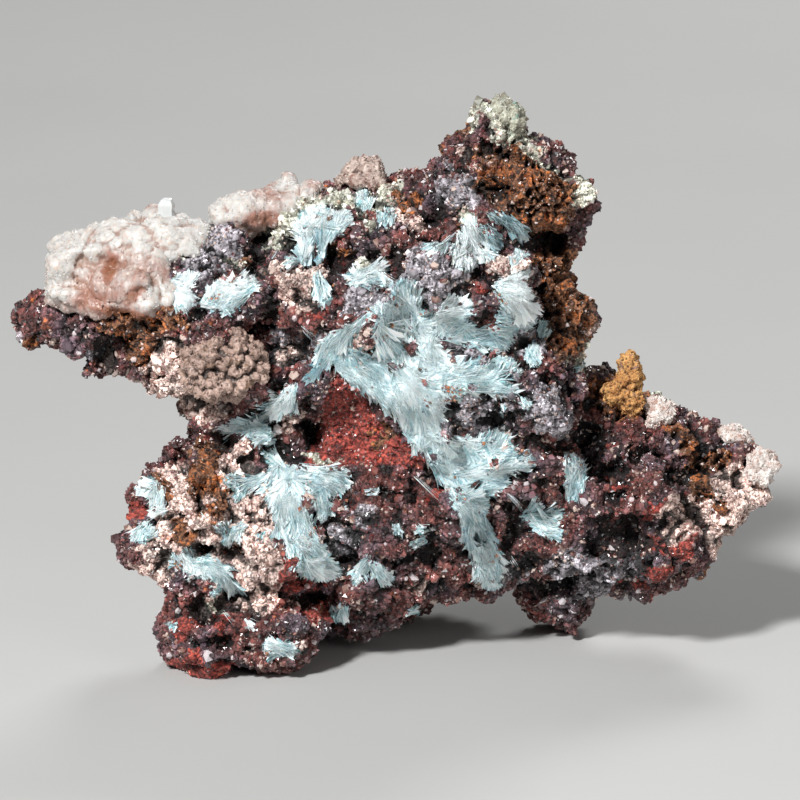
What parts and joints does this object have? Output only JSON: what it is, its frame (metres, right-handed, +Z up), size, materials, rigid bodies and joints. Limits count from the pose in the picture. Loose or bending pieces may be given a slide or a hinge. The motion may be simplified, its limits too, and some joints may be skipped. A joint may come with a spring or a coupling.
{
  "type": "aurichalcite specimen",
  "caption": "Craggy iron-stained matrix rock with two arms and a peak, carrying pale blue radiating aurichalcite sprays, pinkish calcite crust and white nubs; a display specimen.",
  "frame": {"origin": "On the resting plane, under the centre of the specimen's bounding box.", "axes": "+X to the right as the aurichalcite side is seen, along the two arms; +Y away from that side, through the specimen's depth; +Z up."},
  "size_m": [0.0802, 0.039, 0.0588],
  "materials": {
    "matrix": "dark purple-brown iron-stained rock, drusy and sparkling, rough",
    "aurichalcite": "pale blue-green silky radiating needles, pearly sheen",
    "calcite": "pinkish white sugary calcite, waxy and a little translucent",
    "botryoid": "tan grape-like crystals, satin",
    "limonite": "orange-brown earthy limonite, matt",
    "hemimorphite": "white to greenish-white fine crystal crust, glassy",
    "clear": "colourless clear crystal, vitreous"
  },
  "bodies": {
    "root": {"aurichalcite_back_fan": "aurichalcite", "aurichalcite_back_spray": "aurichalcite", "aurichalcite_bank": "aurichalcite", "aurichalcite_block_patch": "aurichalcite", "aurichalcite_cascade": "aurichalcite", "aurichalcite_cascade_2": "aurichalcite", "aurichalcite_foot_patch": "aurichalcite", "aurichalcite_left_edge": "aurichalcite", "aurichalcite_left_fan": "aurichalcite", "aurichalcite_left_shelf": "aurichalcite", "aurichalcite_left_shelf_2": "aurichalcite", "aurichalcite_lower_fan": "aurichalcite", "aurichalcite_lower_spray": "aurichalcite", "aurichalcite_lower_spray_2": "aurichalcite", "aurichalcite_middle_ledge": "aurichalcite", "aurichalcite_neck_fringe": "aurichalcite", "aurichalcite_star_tuft": "aurichalcite", "aurichalcite_upper_fan": "aurichalcite", "aurichalcite_upright_tuft": "aurichalcite", "aurichalcite_vein": "aurichalcite", "aurichalcite_vein_2": "aurichalcite", "aurichalcite_vein_3": "aurichalcite", "aurichalcite_vein_4": "aurichalcite", "botryoidal_bunch": "botryoid", "calcite_crust": "calcite", "calcite_ridge": "calcite", "clear_crystal": "clear", "limonite_horn": "limonite", "matrix": "matrix", "peak_crust": "hemimorphite", "ridge_crystals": "hemimorphite", "white_nub_arm": "hemimorphite", "white_nub_shoulder": "hemimorphite", "white_nub_tip": "hemimorphite"}
  },
  "joints": []
}
